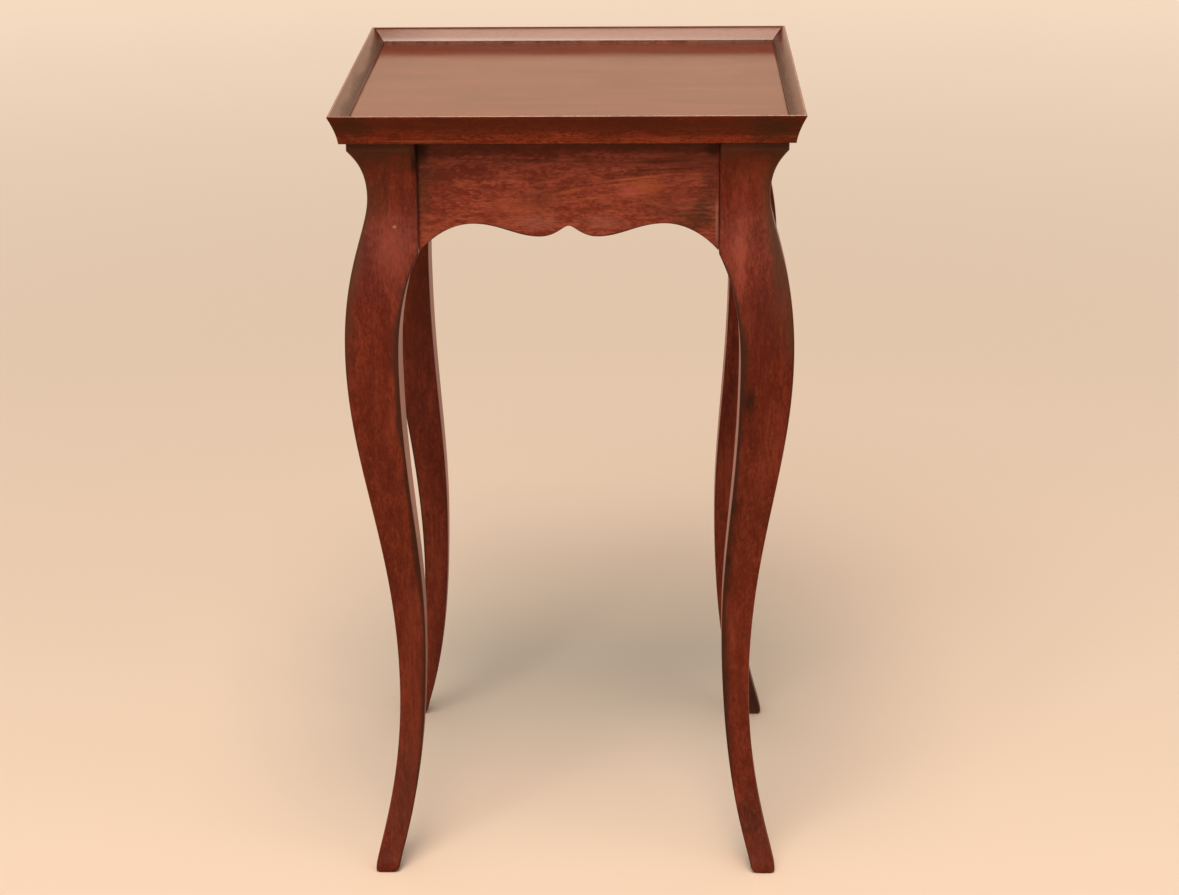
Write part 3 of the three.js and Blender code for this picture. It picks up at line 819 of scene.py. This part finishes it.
def make_leg():
    """Cabriole leg with two blind mortises, for the back right corner."""
    inner, outer, changes = leg_edges()
    foot = [FOOT_EASE_HEIGHT * (1 - math.cos(QUARTER_TURN * step / FOOT_STEPS))
            for step in range(FOOT_STEPS)]
    levels = list(np.arange(FOOT_EASE_HEIGHT, LEG_TOP - LEG_PITCH / 2, LEG_PITCH))
    levels = [z for z in levels if min(abs(z - change) for change in changes) > LEG_PITCH / 4]
    sections = []
    for z in sorted(foot + levels + changes + [LEG_TOP]):
        left = max(0.0, 1 - z / FOOT_EASE_HEIGHT)
        ease = FOOT_EASE * (1 - math.sqrt(1 - left ** 2))
        sections.append(leg_section(inner(z) + ease, outer(z) - ease, z))
    mesh = new_mesh("leg", *loft(sections))
    low = Vector((POST_FACE - CUT_OVERRUN, TENON_INNER - HAIRLINE, TENON_FOOT - HAIRLINE))
    high = Vector((APRON_HIGH.x + HAIRLINE, TENON_INNER + TENON_THICKNESS + HAIRLINE,
                   TENON_TOP + HAIRLINE))
    mesh = carve(mesh, [box_mesh(low, high), box_mesh(low.yxz, high.yxz)])

    def edge(point):
        low, high = inner(point.z), outer(point.z)
        plain = max(min(point.x - low, high - point.x), min(point.y - low, high - point.y), 0.0)
        if max(point.x, point.y) < high - ARRIS_RADIUS:
            return plain
        widths = (1.0, INNER_BAND_WIDENS, INNER_BAND_WIDENS, 1.0)
        widen = float(np.interp(point.z, INNER_BAND_HEIGHTS, widths))
        return min(plain, max(min(point.x, point.y) - low, 0.0) / widen)

    def toner_and_shade(point):
        high = outer(point.z)
        outer_arris = max(high - point.x, high - point.y, 0.0)
        fade = max(0.0, OUTER_BAND_FOOT - point.z) * OUTER_BAND_FADE
        # darker towards the crown: toner and painted shade under the tray
        return min(outer_arris + fade, (LEG_TOP - point.z) * CROWN_CLEAN)

    set_surface(mesh, edge, toner_and_shade)
    return mesh


def eased_edge(radius):
    """The points of a rounded edge, as how far each lies in from the edge's two faces."""
    angles = [QUARTER_TURN * step / EASE_STEPS for step in range(EASE_STEPS + 1)]
    return [(radius * (1 - math.cos(angle)), radius * (1 - math.sin(angle))) for angle in angles]


def read_scallop():
    """The lower edge of the part's own apron, as height against place, and its half length."""
    points = {}
    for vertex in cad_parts["apron_back"].data.vertices:
        if vertex.co.y > APRON_HIGH.y - HAIRLINE and vertex.co.z < APRON_HIGH.z - HAIRLINE:
            points[round(vertex.co.x, 6)] = vertex.co.z
    places = sorted(points)
    return smooth_curve(places, [points[place] for place in places]), places[-1]


SCALLOP, HALF_APRON = read_scallop()


def screw_seats():
    """Seat, direction and length of the three screws in the part's own back right block."""
    seats = {}
    for name, axis in (("top_screw_back_right", 2), ("block_screw_back_right_1", 0),
                       ("block_screw_back_right_2", 1)):
        low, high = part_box(name)
        seat = (low + high) / 2
        seat[axis] = low[axis] + HEAD_HEIGHT
        direction = Vector((0, 0, 0))
        direction[axis] = 1
        seats[name] = (seat, direction, high[axis] - seat[axis])
    return seats


SEATS = screw_seats()


def screw_bore(seat, direction, length):
    start, end = seat - direction * HAIRLINE, seat + direction * (length + HAIRLINE)
    return bar_mesh(BORE_RADIUS, start, end)


def make_apron():
    """Scalloped board with a stub tenon at each end, for the back."""
    outer, inner, top = APRON_HIGH.y, APRON_LOW.y, APRON_HIGH.z
    half = POST_FACE - JOINT_LINE
    sections = []
    for place in np.linspace(-half, half, APRON_COLUMNS):
        foot = SCALLOP(max(-HALF_APRON, min(HALF_APRON, place)))
        face = [top + (foot + SCALLOP_EASE - top) * row / APRON_ROWS for row in range(APRON_ROWS)]
        rounded = [(run, foot + rise) for run, rise in eased_edge(SCALLOP_EASE)]
        loop = [(outer, z) for z in face] + [(outer - run, z) for run, z in rounded]
        loop += [(inner + run, z) for run, z in reversed(rounded)]
        loop += [(inner, z) for z in reversed(face)]
        sections.append([Vector((place, y, z)) for y, z in loop])
    mesh = new_mesh("apron", *loft(sections))
    tip, root = APRON_HIGH.x, half - TENON_OVERLAP
    tenons = [box_mesh(Vector((low, TENON_INNER, TENON_FOOT)),
                       Vector((high, TENON_INNER + TENON_THICKNESS, TENON_TOP)))
              for low, high in ((-tip, -root), (root, tip))]
    mesh = carve(mesh, tenons, "UNION")
    seat, direction, length = SEATS["block_screw_back_right_2"]
    mirrored = Vector((-seat.x, seat.y, seat.z))
    mesh = carve(mesh, [screw_bore(place, direction, length) for place in (seat, mirrored)])

    def edge(point):
        place = max(-HALF_APRON, min(HALF_APRON, point.x))
        return max(0.0, point.z - SCALLOP(place))

    # darker towards the top: toner and painted shade under the tray
    set_surface(mesh, edge, lambda point: top - point.z,
                lambda point: 1.0 if point.y < inner + HAIRLINE else 0.0)
    return mesh


def bent_line(start, bend, end, steps):
    """A smooth curve between two points, pulled to the bend, without its last point."""
    return [start * (1 - share) ** 2 + bend * 2 * share * (1 - share) + end * share ** 2
            for share in np.linspace(0, 1, steps, endpoint=False)]


def arc_points(centre, radius, start, end):
    """Points round an arc, without its last point."""
    return [centre + radius * Vector((math.cos(angle), math.sin(angle)))
            for angle in np.linspace(start, end, NOSE_STEPS, endpoint=False)]


def rim_section():
    """The moulding's section, as reach and height: from its foot up the cove and down inside."""
    lip, foot_z, top_z = RIM_HIGH.y, RIM_LOW.z, RIM_HIGH.z
    foot = lip - COVE_REACH
    wall = lip - BEVEL_RUN
    bevel_foot = Vector((wall, top_z - BEVEL_DROP))
    outside = Vector((lip - NOSE_RADIUS, top_z - NOSE_RADIUS))
    inside = Vector((lip - NOSE_RADIUS, top_z - LIP_RADIUS))
    nose = arc_points(outside, NOSE_RADIUS, -BEVEL_TOP_SLOPE / 2, QUARTER_TURN)
    nose += arc_points(inside, LIP_RADIUS, QUARTER_TURN, QUARTER_TURN + BEVEL_TOP_SLOPE)
    bevel_top = arc_points(inside, LIP_RADIUS, QUARTER_TURN + BEVEL_TOP_SLOPE, QUARTER_TURN)[0]
    downhill = -Vector((math.cos(BEVEL_TOP_SLOPE), math.sin(BEVEL_TOP_SLOPE)))
    crown = bevel_top + downhill * (bevel_foot - bevel_top).length / 2
    bevel = bent_line(bevel_top, crown, bevel_foot, BEVEL_STEPS)
    bend = Vector((foot + COVE_LEAN, foot_z + COVE_BEND))
    start = Vector((foot, foot_z + FOOT_ROUND))
    cove = bent_line(start, bend, nose[0], COVE_STEPS)
    rounding = FOOT_ROUND * (1 - math.cos(QUARTER_TURN / 2))
    return [
        Vector((foot - FOOT_ROUND, foot_z)),
        Vector((foot - rounding, foot_z + rounding)),
        *cove, *nose, *bevel,
        bevel_foot, bevel_foot - Vector((0, HAIRLINE)),
        Vector((wall, foot_z + LEDGE_THICKNESS)),
        Vector((RIM_LOW.y, foot_z + LEDGE_THICKNESS)),
        Vector((RIM_LOW.y, foot_z)),
    ]


def make_rim(shade_pooled):
    """Coved moulding with a mitre at each end, for the back. Its inner face may hold painted
    shade.
    """
    section = rim_section()
    sections = [[Vector((share * (point.x - HAIRLINE), point.x, point.y)) for point in section]
                for share in np.linspace(-1, 1, RIM_STEPS)]
    mesh = new_mesh("rim", *loft(sections))
    nose = Vector((RIM_HIGH.y - NOSE_RADIUS, RIM_HIGH.z - NOSE_RADIUS))
    arris = nose + NOSE_RADIUS * Vector((math.cos(WEAR_ANGLE), math.sin(WEAR_ANGLE)))

    def in_cove(point):
        return point.y > max(nose.x - (RIM_HIGH.z - point.z) * CORE_LEAN, RIM_HIGH.y - CORE_REACH)

    def on_wall(point):
        return not in_cove(point) and point.z < RIM_HIGH.z - BEVEL_DROP - HAIRLINE / 2

    def toner_and_shade(point):
        # the cove darkest below the lip: toner and painted shade under the nose
        if in_cove(point):
            return abs(RIM_HIGH.z - point.z - COVE_TONER_AND_SHADE_DEPTH)
        return 1.0 if on_wall(point) else 0.0

    def worn(point):
        if on_wall(point):
            return WALL_WORN * LIP_WEAR
        apart = point.yz - arris
        inwards = apart.x < 0 and (apart.y > 0 or not in_cove(point))
        return apart.length * (LIP_WEAR / INNER_WEAR if inwards else 1.0)

    def edge(point):
        # the uprights of the front and back rims: a toner line and painted shade by the panel
        if on_wall(point):
            return 1.0 if shade_pooled else WALL_LINE * RIM_LINE
        # painted shade and dark reflection low on the inner faces of the left and right rims
        if not shade_pooled or in_cove(point):
            return 1.0
        return (point.z - RIM_HIGH.z + BEVEL_DROP) * RIM_LINE / SHADE_POOL_REACH

    set_surface(mesh, edge, toner_and_shade, worn=worn)
    return mesh


def make_panel():
    """Tray panel: rabbeted below, with eased top edges."""
    plate = RIM_HIGH.y - BEVEL_RUN - HAIRLINE
    core = RIM_LOW.y - HAIRLINE
    rabbet = PANEL_LOW.z + LEDGE_THICKNESS + HAIRLINE
    top = PANEL_HIGH.z
    squares = [(core, PANEL_LOW.z), (core, rabbet), (plate, rabbet)]
    squares += [(plate - run, top - drop) for run, drop in eased_edge(PANEL_EASE)]
    squares += [(plate - inset * MM, top) for inset in PANEL_RINGS]
    loops = [[Vector((x * reach, y * reach, z)) for x, y in ((1, -1), (1, 1), (-1, 1), (-1, -1))]
             for reach, z in squares]
    mesh = new_mesh("panel", *loft(loops))
    seat, direction, length = SEATS["top_screw_back_right"]
    bores = [screw_bore(Vector((x * seat.x, y * seat.y, seat.z)), direction, length)
             for x in (-1, 1) for y in (-1, 1)]
    mesh = carve(mesh, bores)
    set_surface(mesh, lambda point: plate - max(abs(point.x), abs(point.y)),
                bare=lambda point: 1.0 if point.z < rabbet + HAIRLINE else 0.0)
    return mesh


def make_block():
    """Corner block: a bar across the back right corner, bored for its three screws."""
    near, outer = BLOCK_LOW.x, BLOCK_HIGH.x
    far = 2 * HALF_APRON - outer
    plan = [(outer, near), (outer, far), (far, outer), (near, outer)]
    mesh = prism("block", plan, BLOCK_LOW.z, BLOCK_HIGH.z)
    work = bmesh.new()
    work.from_mesh(mesh)
    bmesh.ops.bevel(work, geom=work.edges[:], offset=BLOCK_EASE, segments=2, affect="EDGES")
    work.to_mesh(mesh)
    work.free()
    cutters = []
    for seat, direction, length in SEATS.values():
        mouth = seat - direction * (SINK_RADIUS + HEAD_HEIGHT + CUT_OVERRUN)
        cutters += [screw_bore(seat, direction, length), bar_mesh(SINK_RADIUS, mouth, seat)]
    mesh = carve(mesh, cutters)
    set_surface(mesh, lambda point: 1.0, bare=lambda point: 1.0)
    return mesh


def make_screw(length):
    """Wood screw with pan head, cross slot and thread: seat at the origin, point along +Z."""
    rings = [(-HEAD_HEIGHT * height, [HEAD_RADIUS * share] * SCREW_SIDES)
             for height, share in HEAD_PROFILE]
    rings += [(-HAIRLINE, [HEAD_RADIUS] * SCREW_SIDES)]
    rings += [(z, [SHANK_RADIUS] * SCREW_SIDES) for z in (0.0, PLAIN_SHANK)]
    z = PLAIN_SHANK + THREAD_PITCH / THREAD_STEPS
    while z < length - THREAD_PITCH / THREAD_STEPS:
        taper = min(1.0, (length - z) / POINT_LENGTH)
        radii = []
        for side in range(SCREW_SIDES):
            phase = (z / THREAD_PITCH - side / SCREW_SIDES) % 1.0
            crest = max(0.0, 1 - abs(phase - 0.5) * THREAD_FLANK)
            radii.append(taper * (CORE_RADIUS + (SHANK_RADIUS - CORE_RADIUS) * crest))
        rings.append((z, radii))
        z += THREAD_PITCH / THREAD_STEPS
    rings.append((length, [SCREW_TIP] * SCREW_SIDES))
    sections = []
    for z, radii in rings:
        turn = [2 * math.pi * side / SCREW_SIDES for side in range(SCREW_SIDES)]
        sections.append([Vector((radius * math.cos(angle), radius * math.sin(angle), z))
                         for angle, radius in zip(turn, radii)])
    mesh = new_mesh("screw", *loft(sections))
    low = Vector((-SLOT_REACH, -SLOT_WIDTH / 2, -HEAD_HEIGHT - CUT_OVERRUN))
    high = Vector((SLOT_REACH, SLOT_WIDTH / 2, -HEAD_HEIGHT + SLOT_DEPTH))
    mesh = carve(mesh, [box_mesh(low, high), box_mesh(low.yxz, high.yxz)])
    set_surface(mesh, lambda point: 1.0)
    return mesh


def placed_screw(mesh, seat, direction):
    own = mesh.copy()
    own.transform(Vector((0, 0, 1)).rotation_difference(direction).to_matrix().to_4x4())
    own.transform(Matrix.Translation(seat))
    return own


def make_table():
    leg, apron, block = make_leg(), make_apron(), make_block()
    rims = {side: make_rim(shade_pooled=side in ("left", "right")) for side in SIDES}
    screw = make_screw(SEATS["top_screw_back_right"][2])
    add_piece("tray_board", make_panel(), ["tray_panel"], "tray_mahogany")
    for turn, (corner, side) in enumerate(zip(CORNERS, SIDES)):
        add_piece(f"{side}_rim", rims[side], [f"rim_{side}"], "rim_mahogany", turn)
        add_piece(f"{side}_apron", apron, [f"apron_{side}"], "apron_mahogany", turn)
        add_piece(f"{corner}_leg", leg, [f"leg_{corner}"], "leg_mahogany", turn,
                  "upright")
        add_piece(f"{corner}_block", block, [f"corner_block_{corner}"],
                  "sawn_block_wood", turn, "corner")
        for node, (seat, direction, _) in SEATS.items():
            name = node.replace("back_right", corner)
            add_piece(f"{name}_dressed", placed_screw(screw, seat, direction), [name],
                      "zinc_plate", turn)


def make_floor():
    """Plain pale floor. What it gives back to the table is warmer than what the camera sees."""
    half = FLOOR_SIZE / 2
    mesh = bpy.data.meshes.new("floor")
    mesh.from_pydata([(-half, -half, 0), (half, -half, 0), (half, half, 0), (-half, half, 0)], [],
                     [(0, 1, 2, 3)])
    board = new_material("pale_floor")
    path = board.add("ShaderNodeLightPath").outputs
    place = board.place()
    depth = board.part(place, "Y")
    behind = board.times(board.ramp(depth, GLOSS_FLOOR_TURN),
                         board.ramp(depth, GLOSS_RAIL_STARTS, 1.0, GLOSS_RAIL))
    gloss = board.mix(behind, GLOSS_FLOOR_FRONT, GLOSS_FLOOR_BACK)
    colour = board.mix(path["Is Glossy Ray"], FLOOR_GIVEN, gloss)
    colour = board.mix(path["Is Camera Ray"], colour, FLOOR_SEEN)
    glossed = board.times(path["Is Glossy Ray"], behind)
    far = board.ramp(board.vector("LENGTH", place)["Value"], FLOOR_GLOW_STARTS)
    seen_far = board.times(path["Is Camera Ray"], far)
    glow = board.mix(glossed, BLACK, GLOSS_FLOOR_GLOW)
    glow = board.mix(seen_far, glow, FLOOR_FAR_GLOW)
    finish_material(board, {"Base Color": colour, "Roughness": 1.0, "Specular IOR Level": 0.0,
                            "Emission Color": glow, "Emission Strength": 1.0})
    mesh.materials.append(bpy.data.materials["pale_floor"])
    floor = new_object("floor", mesh)


def make_world():
    """Even studio light, and a warm pale wall where the camera or a gloss looks past the floor."""
    world = bpy.data.worlds.new("studio")
    world.use_nodes = True
    world.node_tree.nodes.clear()
    board = Board(world.node_tree)
    path = board.add("ShaderNodeLightPath").outputs
    seen = board.math("MAXIMUM", path["Is Camera Ray"], path["Is Glossy Ray"])
    seen = board.math("MAXIMUM", seen, path["Is Transmission Ray"])
    way = board.place("Generated")
    behind = board.ramp(board.part(way, "Y"), GLOSS_ROOM_TURN)
    above = board.ramp(board.part(way, "Z"), (0.0, GLOSS_RAIL_TOP), GLOSS_RAIL, 1.0)
    gloss = board.mix(above, BLACK, board.mix(behind, GLOSS_ROOM_FRONT, GLOSS_ROOM_BACK))
    shown = board.mix(path["Is Camera Ray"], gloss, ROOM_SEEN)
    light = {"Color": (*ROOM_LIGHT, 1.0), "Strength": ROOM_STRENGTH}
    lamp = board.add("ShaderNodeBackground", light)
    wall = board.add("ShaderNodeBackground", {"Color": shown, "Strength": 1.0})
    either = board.add("ShaderNodeMixShader", {0: seen, 1: lamp.outputs[0], 2: wall.outputs[0]})
    board.add("ShaderNodeOutputWorld", {"Surface": either.outputs[0]})
    bpy.context.scene.world = world


def make_lamps():
    for name, (place, width, length, power, colour) in LAMPS.items():
        data = bpy.data.lights.new(name, "AREA")
        data.shape = "RECTANGLE"
        data.size = width
        data.size_y = length
        data.energy = power
        data.color = colour
        lamp = new_object(name, data)
        lamp.location = place
        lamp.rotation_euler = (LAMP_AIM - Vector(place)).to_track_quat("-Z", "Y").to_euler()


make_camera()
make_world()
make_lamps()
make_floor()
make_materials()
make_table()
bpy.context.scene.view_settings.view_transform = "Standard"
